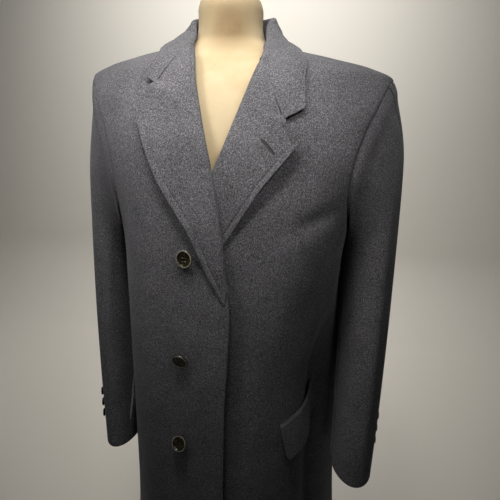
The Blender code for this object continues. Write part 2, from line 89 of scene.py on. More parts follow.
def satin_paint(name):
    """Sprayed paint over steel: a grey film with cloudy wear 30 mm wide and orange peel 1.5 mm across."""
    made, tree, shader, place = fresh_finish(name)
    cloud = add_node(tree, "ShaderNodeTexNoise", {"Scale": 1 / 0.030, "Detail": 4.0}, [("Vector", place)])
    tone = add_node(tree, "ShaderNodeMix",
                    {"data_type": "RGBA", "A": linear(PAINT_GREY), "B": linear(PAINT_WORN)},
                    [("Factor", cloud.outputs["Fac"])])
    tree.links.new(tone.outputs["Result"], shader.inputs["Base Color"])
    peel = add_node(tree, "ShaderNodeTexNoise", {"Scale": 1 / 0.0015}, [("Vector", place)])
    bump = add_node(tree, "ShaderNodeBump", {"Strength": 0.12, "Distance": 0.0002},
                    [("Height", peel.outputs["Fac"])])
    tree.links.new(bump.outputs["Normal"], shader.inputs["Normal"])
    shader.inputs["Roughness"].default_value = 0.42
    shader.inputs["IOR"].default_value = 1.48
    return made


def turned(profile, segments, centre=(0.0, 0.0)):
    """Grid of a turned shape: each (radius, height) of the profile goes round the vertical at the centre."""
    turn = np.linspace(0.0, math.tau, segments, endpoint=False)
    radius, height = profile[:, :1], profile[:, 1:]
    x, y = centre[0] + radius * np.cos(turn), centre[1] + radius * np.sin(turn)
    return np.stack([x, y, height + 0.0 * turn], axis=-1)


def shaped(name, points, finish, wraps=False):
    """An object with one quad between each four neighbours of a grid of points. A wrapped grid closes its
    columns into a ring, and points that coincide, as at its poles, are merged."""
    rows, columns = points.shape[:2]
    index = np.arange(rows * columns).reshape(rows, columns)
    if wraps:
        index = np.column_stack([index, index[:, 0]])
    quads = np.stack([index[:-1, :-1], index[:-1, 1:], index[1:, 1:], index[1:, :-1]], axis=-1).reshape(-1, 4)
    mesh = bpy.data.meshes.new(name)
    mesh.from_pydata(points.reshape(-1, 3).tolist(), [], quads.tolist())
    if wraps:
        poles = bmesh.new()
        poles.from_mesh(mesh)
        bmesh.ops.remove_doubles(poles, verts=poles.verts, dist=1e-6)
        poles.to_mesh(mesh)
        poles.free()
    mesh.materials.append(finish)
    mesh.shade_smooth()
    piece = bpy.data.objects.new(name, mesh)
    bpy.context.scene.collection.objects.link(piece)
    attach(piece, "root")
    return piece


paint = satin_paint("satin_painted_steel")
STAND = (("form_base", BASE_PROFILE, (0.0, 0.0)), ("form_pole", POLE_PROFILE, (0.0, 0.004)))
for name, profile, centre in STAND:
    piece = shaped(name + "_turned", turned(profile, 128, centre), paint, wraps=True)
    piece.data.set_sharp_from_angle(angle=math.radians(35))
    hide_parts(name)


# Torso of the dress form: a moulded body without limbs, padded and covered in tight cream linen.
# It ends in a short round neck with a flat cap, and it carries the whole coat on its shoulders.
# The last linen colour and the point below it paint shade onto the front of the neck, which lies in shade
# under the cap.
LINEN_CREAM, LINEN_TAN, LINEN_SHADE = "#ab9b7d", "#a18f6d", "#6b5229"
NECK_SHADE_SPOT = (-0.012, -0.026, TIP + 0.068)
# height, half width, front depth, back depth, middle x, middle y, squareness
FORM = np.array([
    (-0.735, 0.004, 0.004, 0.004, 0.000, 0.004, 2.0), (-0.733, 0.100, 0.090, 0.070, 0.000, 0.004, 2.0),
    (-0.715, 0.138, 0.126, 0.098, 0.000, 0.004, 2.1), (-0.640, 0.148, 0.138, 0.108, 0.000, 0.004, 2.2),
    (-0.550, 0.145, 0.136, 0.104, 0.000, 0.004, 2.2), (-0.420, 0.137, 0.130, 0.098, 0.000, 0.004, 2.2),
    (-0.300, 0.150, 0.144, 0.104, 0.000, 0.006, 2.2), (-0.200, 0.164, 0.152, 0.116, 0.000, 0.008, 2.3),
    (-0.120, 0.182, 0.144, 0.116, 0.000, 0.012, 2.3), (-0.060, 0.192, 0.129, 0.108, 0.000, 0.016, 2.2),
    (-0.020, 0.194, 0.112, 0.097, 0.000, 0.019, 2.2), (0.004, 0.182, 0.094, 0.085, -0.002, 0.021, 2.1),
    (0.021, 0.155, 0.079, 0.073, -0.008, 0.022, 2.1), (0.038, 0.090, 0.061, 0.061, -0.014, 0.024, 2.0),
    (0.058, 0.0555, 0.050, 0.052, -0.017, 0.025, 2.0), (0.080, 0.0505, 0.049, 0.050, -0.0175, 0.025, 2.0),
    (0.097, 0.0505, 0.050, 0.050, -0.0175, 0.025, 2.0), (0.110, 0.0475, 0.047, 0.047, -0.0175, 0.025, 2.0),
    (0.117, 0.037, 0.036, 0.036, -0.0175, 0.025, 2.0), (0.119, 0.004, 0.004, 0.004, -0.0175, 0.025, 2.0),
])
FORM = np.column_stack([FORM, FORM[:, -1]])
TO_TIP = np.array((0.0, 0.0, TIP))


def sections_at(table, height):
    """Each column of a table at the given heights: monotone cubic pieces between the rows, whose slope at a
    row is the harmonic mean of the rises on its two sides, or 0 where they differ in sign."""
    height = np.clip(height, table[0, 0], table[-1, 0])
    step = np.diff(table[:, 0])
    rise = np.diff(table[:, 1:], axis=0) / step[:, None]
    slope = np.zeros_like(table[:, 1:])
    slope[0], slope[-1] = rise[0], rise[-1]
    product = rise[:-1] * rise[1:]
    total = np.where(product > 0, rise[:-1] + rise[1:], 1.0)
    slope[1:-1] = np.where(product > 0, 2.0 * product / total, 0.0)
    row = np.clip(np.searchsorted(table[:, 0], height) - 1, 0, len(step) - 1)
    t = ((height - table[row, 0]) / step[row])[..., None]
    wide = step[row][..., None]
    value = (2 * t**3 - 3 * t**2 + 1) * table[row, 1:] + (t**3 - 2 * t**2 + t) * wide * slope[row]
    value = value + (3 * t**2 - 2 * t**3) * table[row + 1, 1:] + (t**3 - t**2) * wide * slope[row + 1]
    return np.moveaxis(value, -1, 0)


def ring_point(table, angle, height):
    """A point of a section: a superellipse in polar form, with its own squareness on the right and left."""
    half, front, back, x, y, right, left = sections_at(table, height)
    side, ahead = np.sin(angle), np.cos(angle)
    power = np.where(side > 0, left, right)
    depth = np.where(ahead > 0, front, back)
    reach = (np.abs(side / half) ** power + np.abs(ahead / depth) ** power) ** (-1.0 / power)
    return np.stack([x + reach * side, y - reach * ahead, height + 0.0 * angle], axis=-1)


def torso_points(columns=144, finer=7):
    """Sections of the form at seven heights to each row of its table, closed to a point at both ends."""
    rows = len(FORM)
    height = np.interp(np.linspace(0.0, rows - 1.0, finer * (rows - 1) + 1), np.arange(rows), FORM[:, 0])
    angle = np.linspace(0.0, 2.0 * np.pi, columns, endpoint=False)
    points = ring_point(FORM, *np.meshgrid(angle, height))
    points[[0, -1]] = points[[0, -1]].mean(axis=1, keepdims=True)
    return points + TO_TIP


def linen_cover(name):
    """Plain-woven linen: cream threads every 0.9 mm, drawn 1.8 mm apart so that they show, with warm cloudy
    ageing 60 mm wide, and painted shade on the front of the neck: a brown patch 50 mm to its edge, mottled by
    the ageing."""
    made, tree, shader, place = fresh_finish(name)
    age = add_node(tree, "ShaderNodeTexNoise", {"Scale": 1 / 0.060, "Detail": 5.0, "Roughness": 0.6},
                   [("Vector", place)])
    aged = add_node(tree, "ShaderNodeValToRGB", {}, [("Fac", age.outputs["Fac"])])
    aged.color_ramp.elements[0].position = 0.36
    aged.color_ramp.elements[0].color = linear(LINEN_TAN)
    aged.color_ramp.elements[1].position = 0.62
    aged.color_ramp.elements[1].color = linear(LINEN_CREAM)
    # Painted shade: the linen darkens to brown within 50 mm of a point on the front of the neck.
    apart = add_node(tree, "ShaderNodeVectorMath", {"operation": "DISTANCE"}, [(0, place)])
    apart.inputs[1].default_value = NECK_SHADE_SPOT
    shaded_near = add_node(tree, "ShaderNodeMapRange",
                      {"interpolation_type": "SMOOTHSTEP",
                       "From Min": 0.050, "From Max": 0.010, "To Max": 1.3},
                      [("Value", apart.outputs["Value"])])
    neck_shade = add_node(tree, "ShaderNodeMath", {"operation": "MULTIPLY"},
                     [(0, shaded_near.outputs["Result"]), (1, age.outputs["Fac"])])
    tone = add_node(tree, "ShaderNodeMix", {"data_type": "RGBA", "B": linear(LINEN_SHADE)},
                    [("A", aged.outputs["Color"]), ("Factor", neck_shade.outputs["Value"])])
    tree.links.new(tone.outputs["Result"], shader.inputs["Base Color"])
    threads = [
        add_node(tree, "ShaderNodeTexWave",
                 {"bands_direction": way, "Scale": 0.05 * math.tau / 0.0018,
                  "Distortion": 1.0, "Detail": 1.0},
                 [("Vector", place)]).outputs["Fac"]
        for way in ("Z", "X")
    ]
    weave = add_node(tree, "ShaderNodeMath", {"operation": "ADD"}, list(enumerate(threads)))
    bump = add_node(tree, "ShaderNodeBump", {"Strength": 0.10, "Distance": 0.0003},
                    [("Height", weave.outputs["Value"])])
    tree.links.new(bump.outputs["Normal"], shader.inputs["Normal"])
    shader.inputs["Roughness"].default_value = 0.72
    shader.inputs["Sheen Weight"].default_value = 0.15
    return made


torso = shaped("form_torso_linen", torso_points(), linen_cover("cream_linen"), wraps=True)
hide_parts("form_torso")


# Back and fronts of the coat: three panels of brushed cashmere coating, sewn at the sides and shoulders.
# They hang from the form's shoulders; the right front laps over the left one and is buttoned there.
CLOTH = 0.0022
SEAM = 0.0003
COAT_DROP, NECK_RISE, ARMHOLE_DROP = 1.00, 0.058, 0.235
LAP_LIFT = 0.0062
ROLL_TRIM = 0.0042
NAP_DEEP, NAP_MID, NAP_LIGHT = "#303033", "#525257", "#828288"
# height, half width, front depth, back depth, middle x, middle y, right and left squareness
BODY = np.array([
    (-1.000, 0.212, 0.186, 0.158, 0.000, 0.004, 2.3, 2.1),
    (-0.750, 0.193, 0.175, 0.140, 0.000, 0.004, 2.4, 1.9),
    (-0.500, 0.181, 0.170, 0.122, 0.000, 0.004, 2.7, 1.9),
    (-0.320, 0.1765, 0.169, 0.121, 0.000, 0.006, 2.8, 2.3),
    (-0.270, 0.177, 0.168, 0.125, 0.000, 0.007, 2.8, 2.6),
    (-0.220, 0.183, 0.166, 0.129, 0.000, 0.008, 2.7, 2.7),
    (-0.165, 0.199, 0.162, 0.131, 0.000, 0.010, 2.6, 2.6),
    (-0.115, 0.218, 0.155, 0.129, 0.000, 0.012, 2.5, 2.5),
    (-0.075, 0.231, 0.146, 0.124, 0.000, 0.015, 2.4, 2.4),
    (-0.034, 0.239, 0.131, 0.114, 0.000, 0.018, 2.3, 2.3),
    (0.000, 0.235, 0.113, 0.100, 0.000, 0.020, 2.2, 2.2),
    (0.014, 0.209, 0.101, 0.090, -0.003, 0.021, 2.1, 2.1),
    (0.026, 0.163, 0.089, 0.081, -0.009, 0.022, 2.1, 2.1),
    (0.043, 0.096, 0.069, 0.069, -0.014, 0.024, 2.0, 2.0),
    (0.062, 0.066, 0.057, 0.061, -0.0135, 0.026, 2.0, 2.0),
    (0.080, 0.060, 0.054, 0.061, -0.0135, 0.026, 2.0, 2.0),
    (0.110, 0.058, 0.052, 0.064, -0.0135, 0.026, 2.0, 2.0),
])
# large folds: angle and half width in degrees, depth out, height where it starts and where it is full
FOLDS = np.array([
    (64.0, 13.0, -0.0270, -0.310, -0.460), (-74.0, 10.0, -0.0060, -0.520, -0.720),
    (22.0, 9.0, 0.0030, -0.600, -0.950), (-42.0, 10.0, 0.0040, -0.560, -0.950),
    (110.0, 17.0, 0.0340, -0.220, -0.400), (160.0, 12.0, -0.0060, -0.520, -0.950),
    (203.0, 12.0, -0.0070, -0.460, -0.920), (243.0, 11.0, 0.0060, -0.500, -0.920),
])
# soft creases: angle and height where one starts, angle and height where it ends, half width, depth out
CREASES = np.array([
    (-25.0, -0.270, -26.0, -0.630, 0.016, -0.0030), (-11.0, -0.300, -11.0, -0.700, 0.013, 0.0014),
    (10.5, -0.215, 11.0, -0.640, 0.014, -0.0034), (33.0, -0.240, 24.0, -0.420, 0.022, 0.0022),
    (-50.0, -0.240, -46.0, -0.560, 0.024, 0.0022), (-62.0, -0.165, -46.0, -0.300, 0.016, -0.0024),
    (54.0, -0.175, 28.0, -0.206, 0.014, -0.0042), (60.0, -0.170, 45.0, -0.370, 0.024, -0.0040),
    (38.0, -0.130, 30.0, -0.260, 0.022, 0.0020),
    (40.0, -0.610, 36.0, -0.980, 0.020, -0.0036), (-30.0, -0.640, -33.0, -0.980, 0.022, -0.0036),
    (128.0, -0.150, 152.0, -0.430, 0.020, -0.0030), (232.0, -0.140, 210.0, -0.400, 0.022, -0.0032),
    (168.0, -0.350, 172.0, -0.960, 0.022, -0.0034), (190.0, -0.420, 187.0, -0.970, 0.018, 0.0030),
    (108.0, -0.260, 113.0, -0.600, 0.018, -0.0030), (252.0, -0.240, 246.0, -0.640, 0.020, -0.0028),
    (140.0, -0.050, 168.0, -0.110, 0.016, -0.0016), (221.0, -0.045, 196.0, -0.120, 0.014, -0.0016),
])
# free edge of each front from the hem up the edge and then the roll line: height, x
EDGE_RIGHT = np.array([
    (-1.000, 0.004), (-0.647, 0.0047), (-0.478, 0.0056), (-0.405, 0.0088), (-0.326, 0.0114),
    (-0.272, 0.0078), (-0.235, 0.0033), (-0.189, -0.0034), (-0.132, -0.0145), (-0.070, -0.0310),
    (-0.020, -0.0445), (0.0325, -0.0587), (0.0355, -0.0668), (0.039, -0.0690), (0.062, -0.0755),
])
EDGE_LEFT = np.array([
    (-1.000, -0.078), (-0.500, -0.078), (-0.290, -0.0750), (-0.210, -0.0450), (-0.133, -0.0157),
    (-0.088, 0.0016), (-0.044, 0.0180), (0.001, 0.0346), (0.0125, 0.0398), (0.017, 0.0460),
    (0.030, 0.0500), (0.062, 0.0505),
])
# sign of x, free edge, height of the break, height of the gorge
FRONTS = {"right": (-1, EDGE_RIGHT, -0.284, 0.033), "left": (1, EDGE_LEFT, -0.290, 0.0125)}
FRONT_REACH = 0.168
PANEL_ROWS = np.array([
    -COAT_DROP, -0.90, -0.80, -0.70, -0.61, -0.54, -0.48, -0.42, -0.35, -0.28, -ARMHOLE_DROP, -0.222,
    -0.195, -0.160, -0.120, -0.085, -0.055, -0.032, -0.017, -0.008, -0.0014, 0.0, 0.009, 0.018, 0.027,
    0.036, 0.047, NECK_RISE,
])


def smooth(value, low, high):
    """0 below low, 1 above high, an S curve between."""
    t = np.clip((value - low) / (high - low), 0.0, 1.0)
    return t * t * (3.0 - 2.0 * t)


def creased(table, across, height, girth):
    """Depth of soft creases: a bell across the line from each one's start to its end, fading out at both
    ends. Across is in degrees and girth is the metres of cloth in one degree."""
    depth = np.zeros(np.shape(across))
    for start, start_height, end, end_height, wide, out in table:
        away = ((across - start + 180.0) % 360.0 - 180.0) * girth
        run, drop = (end - start) * girth, end_height - start_height
        share = np.clip((away * run + (height - start_height) * drop) / (run**2 + drop**2), 0.0, 1.0)
        apart = np.hypot(away - share * run, height - start_height - share * drop)
        depth = depth + out * np.exp(-((apart / wide) ** 2)) * np.sin(np.pi * (0.08 + 0.84 * share)) ** 0.8
    return depth


def folded(angle, height):
    """How far the large folds move the body out: a bell across each fold, growing down from its start."""
    push = np.zeros(np.shape(angle))
    for middle, wide, depth, start, full in FOLDS:
        away = (np.degrees(angle) - middle + 180.0) % 360.0 - 180.0
        push = push + depth * np.exp(-((away / wide) ** 2)) * smooth(-height, -start, -full)
    return push


def body_point(angle, height):
    """A point of the coat body: its section, with the folds and soft creases pushed along the radius."""
    push = folded(angle, height) + creased(CREASES, np.degrees(angle), height, 0.0030)
    point = ring_point(BODY, angle, height)
    return point + push[..., None] * np.stack([np.sin(angle), -np.cos(angle), 0.0 * angle], axis=-1)


def on_body(angle, height, out):
    """A point of the coat body moved out along its normal, the cross product of its two directions."""
    angle, height = np.broadcast_arrays(np.asarray(angle, float), np.asarray(height, float))
    e = 0.0004
    across = body_point(angle + e, height) - body_point(angle - e, height)
    up = body_point(angle, height + e) - body_point(angle, height - e)
    normal = np.cross(across, up)
    normal = normal / np.linalg.norm(normal, axis=-1, keepdims=True)
    return body_point(angle, height) + np.asarray(out)[..., None] * normal


def front_angle(x, height):
    """The angle at the front at which a section reaches x, from the superellipse solved for its depth."""
    half, front, back, middle, y, right, left = sections_at(BODY, height)
    power = np.where(x > middle, left, right)
    share = np.clip(np.abs(x - middle) / half, 0.0, 0.9999)
    return np.arctan2(x - middle, front * (1.0 - share**power) ** (1.0 / power))


def armhole_angle(height, behind):
    """Angle of the armhole seam: the half width less a sine hump between shoulder tip and underarm."""
    half, front, back, middle, y, power, left = sections_at(BODY, height)
    along = np.clip(-height / ARMHOLE_DROP, 0.0, 1.0)
    hump = np.abs(np.sin(np.pi * along**0.85)) ** (0.75 + 0.5 * along)
    share = 1.0 - (0.19 if behind else 0.215) * hump
    depth = (back if behind else front) * np.clip(1.0 - share**power, 0.0, 1.0) ** (1.0 / power)
    angle = np.arctan2(share * half, depth)
    return np.pi - angle if behind else angle


def outer_angle(height, behind):
    """Side seam below the underarm, armhole above it, shoulder seam above the tip, less half the seam gap."""
    angle = np.where(height < -ARMHOLE_DROP, np.pi / 2, armhole_angle(height, behind))
    angle = np.where(height > -0.0001, np.pi / 2, angle)
    gap = SEAM / np.clip(sections_at(BODY, height)[0], 0.06, 1.0)
    return angle + gap if behind else angle - gap


def lap(angle, height):
    """How far the right front stands off the body where it lies over the left front."""
    x = ring_point(BODY, angle, height)[..., 0]
    return LAP_LIFT * smooth(x, -0.17, -0.11) * (1.0 - smooth(height, -0.11, -0.02))


def curl(from_edge, height):
    """How far the right front's free edge lifts: a bell across the edge, growing down from chest to waist."""
    along = smooth(-height, 0.12, 0.25) * (1.0 - smooth(-height, 0.70, 0.95))
    return 0.0066 * np.exp(-((from_edge / 0.021) ** 2)) * along


def crowded(count):
    """Shares from 0 to 1 that crowd toward both ends: half a cosine and half an even step."""
    even = np.linspace(0.0, 1.0, count)
    return 0.5 * even + 0.25 * (1.0 - np.cos(np.pi * even))


def panel_grid(columns, finer):
    """Shares across the panel and the row heights from hem to neck, several to each step of the table."""
    steps = np.linspace(0.0, len(PANEL_ROWS) - 1.0, finer * (len(PANEL_ROWS) - 1) + 1)
    return np.meshgrid(crowded(columns), np.interp(steps, np.arange(len(PANEL_ROWS)), PANEL_ROWS))


def seam_dip(apart):
    """Cloth pulled in by a seam: 1.1 mm at the seam, gone about 6 mm away."""
    return -0.0011 * np.exp(-((apart / 0.0032) ** 2))


def stitched(apart):
    """Cloth pulled in 0.9 mm by stitches 7 mm inside an edge, which leaves the edge a little swelled."""
    return -0.0009 * np.exp(-(((apart - 0.007) / 0.0018) ** 2)) + 0.0004 * np.exp(-((apart / 0.0040) ** 2))


def roll_trim(height, break_height):
    """How far a front is cut back to lie inside the lapel's roll: nothing at the break, all of it above."""
    return ROLL_TRIM * smooth(height, break_height - 0.012, break_height + 0.03)


def front_panel(side):
    """A front: angles shared between its free edge and its outer seam at each height. The seam side dips, a
    stitched line runs 9 mm inside the free edge, and the edge is cut back inside the lapel's roll."""
    sign, edge, break_height, gorge = FRONTS[side]
    share, height = panel_grid(110, 8)
    trim = roll_trim(height, break_height) * (1.0 - smooth(height, gorge, gorge + 0.003))
    inner = front_angle(sections_at(edge, height)[0] + sign * trim, height)
    outer = sign * outer_angle(height, False)
    share = share if sign > 0 else 1.0 - share
    angle = inner + (outer - inner) * share
    girth = np.clip(sections_at(BODY, height)[0], 0.06, 1.0)
    out = seam_dip(np.abs(outer - angle) * girth)
    from_edge = np.abs(angle - inner) * FRONT_REACH
    line = 0.0007 * np.exp(-(((from_edge - 0.009) / 0.0016) ** 2))
    out = out - line * (1.0 - smooth(height, break_height - 0.03, break_height))
    if sign < 0:
        out = out + lap(angle, height) + curl(from_edge, height)
    return on_body(angle, height, out) + TO_TIP


def back_panel():
    """The back: angles shared between the two outer seams round the rear of the body, dipping at both."""
    share, height = panel_grid(170, 6)
    start = outer_angle(height, True)
    angle = start + (2.0 * np.pi - 2.0 * start) * share
    girth = np.clip(sections_at(BODY, height)[0], 0.06, 1.0)
    apart = np.minimum(angle - start, 2.0 * np.pi - start - angle) * girth
    return on_body(angle, height, seam_dip(apart)) + TO_TIP


def brushed_cashmere(name):
    """Milled and brushed cashmere coating: deep charcoal with a short nap that lies downward. Pale and dark
    hairs mix as a heather about 2 mm across, drawn a little coarse so that it shows, over clouds of nap
    45 mm wide. The hairs catch light at grazing angles, which the sheen gives, and nothing glosses."""
    made, tree, shader, place = fresh_finish(name)
    napped = add_node(tree, "ShaderNodeMapping", {"Scale": (1.0, 1.0, 0.75)}, [("Vector", place)])
    lie = napped.outputs["Vector"]
    heather = add_node(tree, "ShaderNodeTexNoise", {"Scale": 1 / 0.0013, "Detail": 2.0, "Roughness": 0.6},
                       [("Vector", lie)])
    tone = add_node(tree, "ShaderNodeValToRGB", {}, [("Fac", heather.outputs["Fac"])])
    tone.color_ramp.elements[0].position = 0.30
    tone.color_ramp.elements[0].color = linear(NAP_DEEP)
    tone.color_ramp.elements[1].position = 0.72
    tone.color_ramp.elements[1].color = linear(NAP_LIGHT)
    middle = tone.color_ramp.elements.new(0.50)
    middle.color = linear(NAP_MID)
    cloud = add_node(tree, "ShaderNodeTexNoise", {"Scale": 1 / 0.045, "Detail": 3.0}, [("Vector", place)])
    shade = add_node(tree, "ShaderNodeMapRange",
                     {"From Min": 0.3, "From Max": 0.7, "To Min": 0.88, "To Max": 1.12},
                     [("Value", cloud.outputs["Fac"])])
    colour = add_node(tree, "ShaderNodeVectorMath", {"operation": "SCALE"},
                      [("Vector", tone.outputs["Color"]), ("Scale", shade.outputs["Result"])])
    tree.links.new(colour.outputs["Vector"], shader.inputs["Base Color"])
    hair = add_node(tree, "ShaderNodeTexNoise", {"Scale": 1 / 0.0011, "Detail": 2.0}, [("Vector", lie)])
    pile = add_node(tree, "ShaderNodeMath", {"operation": "ADD"},
                    [(0, hair.outputs["Fac"]), (1, heather.outputs["Fac"])])
    bump = add_node(tree, "ShaderNodeBump", {"Strength": 0.45, "Distance": 0.0006},
                    [("Height", pile.outputs["Value"])])
    tree.links.new(bump.outputs["Normal"], shader.inputs["Normal"])
    shader.inputs["Roughness"].default_value = 0.95
    shader.inputs["Specular IOR Level"].default_value = 0.12
    shader.inputs["Sheen Weight"].default_value = 0.22
    shader.inputs["Sheen Roughness"].default_value = 0.45
    shader.inputs["Sheen Tint"].default_value = linear("#b9b9c4")
    return made


def cut_piece(node, points, wall=CLOTH, to=1.0, thin=None):
    """A cloth piece on its grid, with its wall to the outside or the inside, thinned by a share at each point
    where one is given, and a soft rounded edge."""
    piece = shaped(node + "_cloth", points, cashmere)
    thick = piece.modifiers.new("wall", "SOLIDIFY")
    thick.thickness = wall
    thick.offset = to
    if thin is not None:
        group = piece.vertex_groups.new(name="thin")
        for share in np.unique(thin.round(2)):
            group.add(np.flatnonzero(thin.round(2) == share).tolist(), float(share), "REPLACE")
        thick.vertex_group = "thin"
    rounded = piece.modifiers.new("edge", "BEVEL")
    rounded.width = 0.3 * wall
    rounded.segments = 2
    rounded.limit_method = "ANGLE"
    rounded.angle_limit = math.radians(55)
    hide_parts(node)


cashmere = brushed_cashmere("brushed_cashmere")
cut_piece("back", back_panel())
cut_piece("front_right", front_panel("right"))
cut_piece("front_left", front_panel("left"))


# Sleeves: each is a wide top sleeve and a narrower under sleeve of the same cashmere, sewn along the arm.
# The head is set into the armhole with a little fullness, and the hind seam ends in a short vent at the cuff.
SLEEVE_DROP, VENT_STEP, SLEEVE_BLEND = 0.664, 0.008, 0.12
FORE_SEAM, HIND_SEAM = math.radians(168), math.radians(28)
# height, outer x, half width, half depth
SLEEVE = np.array([
    (-0.670, 0.2635, 0.0365, 0.0610), (-0.500, 0.2685, 0.0395, 0.0680), (-0.350, 0.2700, 0.0420, 0.0760),
    (-0.200, 0.2695, 0.0445, 0.0850), (-0.080, 0.2665, 0.0440, 0.0880), (0.000, 0.2610, 0.0430, 0.0860),
])
# sign of x, middle y at the top and at the cuff, shift in x, share of the half width
ARMS = {"right": (-1, 0.058, -0.020, -0.008, 0.88), "left": (1, 0.045, -0.056, 0.000, 1.0)}
# soft creases: angle round the sleeve and height at the start and at the end, half width, depth out
SLEEVE_CREASES = {
    "left": np.array([
        (72.0, -0.200, 78.0, -0.610, 0.011, 0.0022), (104.0, -0.230, 98.0, -0.600, 0.013, -0.0022),
        (48.0, -0.180, 54.0, -0.560, 0.010, -0.0016), (128.0, -0.200, 112.0, -0.420, 0.013, -0.0020),
        (215.0, -0.300, 178.0, -0.345, 0.009, -0.0028), (228.0, -0.350, 186.0, -0.380, 0.008, -0.0024),
        (300.0, -0.250, 310.0, -0.540, 0.012, -0.0024), (262.0, -0.180, 270.0, -0.330, 0.012, -0.0022),
    ]),
    "right": np.array([
        (84.0, -0.180, 88.0, -0.600, 0.012, -0.0024), (58.0, -0.240, 62.0, -0.610, 0.011, 0.0020),
        (122.0, -0.220, 116.0, -0.480, 0.012, -0.0020), (210.0, -0.310, 176.0, -0.350, 0.009, -0.0026),
        (226.0, -0.360, 190.0, -0.395, 0.008, -0.0024), (305.0, -0.230, 300.0, -0.520, 0.013, -0.0024),
        (265.0, -0.170, 258.0, -0.340, 0.012, -0.0022),
    ]),
}


def armhole_point(turn):
    """A point of the left armhole seam by its share of each half's length, from tip (0) to underarm (0.5)."""
    along = np.linspace(0.0, 1.0, 481)
    height = -ARMHOLE_DROP * 0.5 * (1.0 - np.cos(np.pi * along))
    turn = np.mod(turn, 1.0)
    share = np.where(turn < 0.5, turn * 2.0, 2.0 - turn * 2.0)
    halves = []
    for behind in (False, True):
        curve = on_body(armhole_angle(height, behind), height, np.full_like(height, CLOTH))
        length = np.concatenate([[0.0], np.cumsum(np.linalg.norm(np.diff(curve, axis=0), axis=1))])
        length = length / length[-1]
        halves.append(np.stack([np.interp(share, length, part) for part in curve.T], axis=-1))
    return np.where((turn < 0.5)[..., None], halves[0], halves[1])


def grid_normals(points):
    """Outward normals of a grid: the cross product of its differences along the columns and up the rows."""
    normal = np.cross(np.gradient(points, axis=1), np.gradient(points, axis=0))
    return normal / np.maximum(np.linalg.norm(normal, axis=-1, keepdims=True), 1e-12)


def sleeve_half(side, start, stop, cuff_drop):
    """Half a sleeve: lines run down from the armhole seam and settle onto an oval tube, whose angle is 0 on
    the outer side and a quarter turn at the front. The head is sunk into its seam and swells just below it,
    both long seams dip, and the soft creases follow the tube."""
    sign, top_y, cuff_y, shift, wide = ARMS[side]
    share, down = np.meshgrid(crowded(72), np.linspace(0.0, 1.0, 160) ** 1.5)
    angle = start + (stop - start) * (share if sign > 0 else 1.0 - share)
    begin = armhole_point(angle / (2.0 * np.pi)) + np.array((0.0012, 0.0, -0.0012))
    begin[..., 0] += 0.0006 * np.clip(np.cos(angle), 0.0, 1.0)
    height = begin[..., 2] - (begin[..., 2] + cuff_drop) * down
    outer, half, deep = sections_at(SLEEVE, height)
    outer, half = outer + shift, half * wide
    middle = top_y + (cuff_y - top_y) * np.clip(-height / SLEEVE_DROP, 0.0, 1.0)
    tube_x = outer - half + half * np.cos(angle)
    tube_y = middle - deep * np.sin(angle)
    mix = 1.0 - (1.0 - np.clip((begin[..., 2] - height) / SLEEVE_BLEND, 0.0, 1.0)) ** 2.2
    x = begin[..., 0] + (tube_x - begin[..., 0]) * mix
    y = begin[..., 1] + (tube_y - begin[..., 1]) * mix
    points = np.stack([sign * x, y, height + TIP], axis=-1)
    apart = np.minimum(np.abs(angle - start), np.abs(stop - angle)) * 0.060
    out = seam_dip(apart) * smooth(down, 0.0, 0.06)
    from_head = np.cumsum(np.linalg.norm(np.diff(points, axis=0, prepend=points[:1]), axis=-1), axis=0)
    sunk = 0.0024 * (1.0 - 0.75 * np.clip(np.cos(angle), 0.0, 1.0))
    out = out - sunk * np.exp(-((from_head / 0.0050) ** 2))
    out = out + 0.0014 * np.exp(-(((from_head - 0.016) / 0.010) ** 2))
    out = out + creased(SLEEVE_CREASES[side], np.degrees(angle), height, 0.0011) * smooth(down, 0.0, 0.2)
    return points + out[..., None] * grid_normals(points)


HALF_GAP = 0.010
for side in ARMS:
    top = sleeve_half(side, HIND_SEAM + HALF_GAP, FORE_SEAM - HALF_GAP, SLEEVE_DROP)
    cut_piece("top_sleeve_" + side, top, to=-1.0)
    under = sleeve_half(side, FORE_SEAM + HALF_GAP, HIND_SEAM + math.tau - HALF_GAP, SLEEVE_DROP - VENT_STEP)
    cut_piece("under_sleeve_" + side, under, to=-1.0)


# Lapels: the upper part of each front, faced with the same cashmere, rolled out and pressed on the chest.
# The cloth turns in a soft roll round the front's edge and lies on the front to its own stitched edge.
LAY = 0.0010
LAPEL_WALL = 0.0030
# height on the roll line from the break to the gorge, then angle in degrees and height of the outer edge
LAPEL_RIGHT = np.array([
    (-0.284, 2.0, -0.3040), (-0.240, -6.2, -0.2600), (-0.191, -15.2, -0.2025), (-0.133, -28.4, -0.1420),
    (-0.075, -42.7, -0.0575), (-0.040, -39.7, -0.0222), (-0.012, -37.8, 0.0048), (0.012, -36.8, 0.0240),
    (0.0346, -37.2, 0.0352),
])
LAPEL_LEFT = np.array([
    (-0.290, -24.5, -0.2980), (-0.230, -10.5, -0.2540), (-0.190, 1.6, -0.2184), (-0.133, 17.2, -0.1481),
    (-0.080, 32.8, -0.0945), (-0.050, 27.7, -0.0650), (-0.026, 25.1, -0.0400), (-0.006, 23.8, -0.0150),
    (0.0138, 25.6, 0.0148),
])
# outline, lift of the outer edge, heights above the break where the lift starts and where it is whole
LAPELS = {"right": (LAPEL_RIGHT, 0.0085, 0.04, 0.11), "left": (LAPEL_LEFT, 0.0095, 0.10, 0.18)}


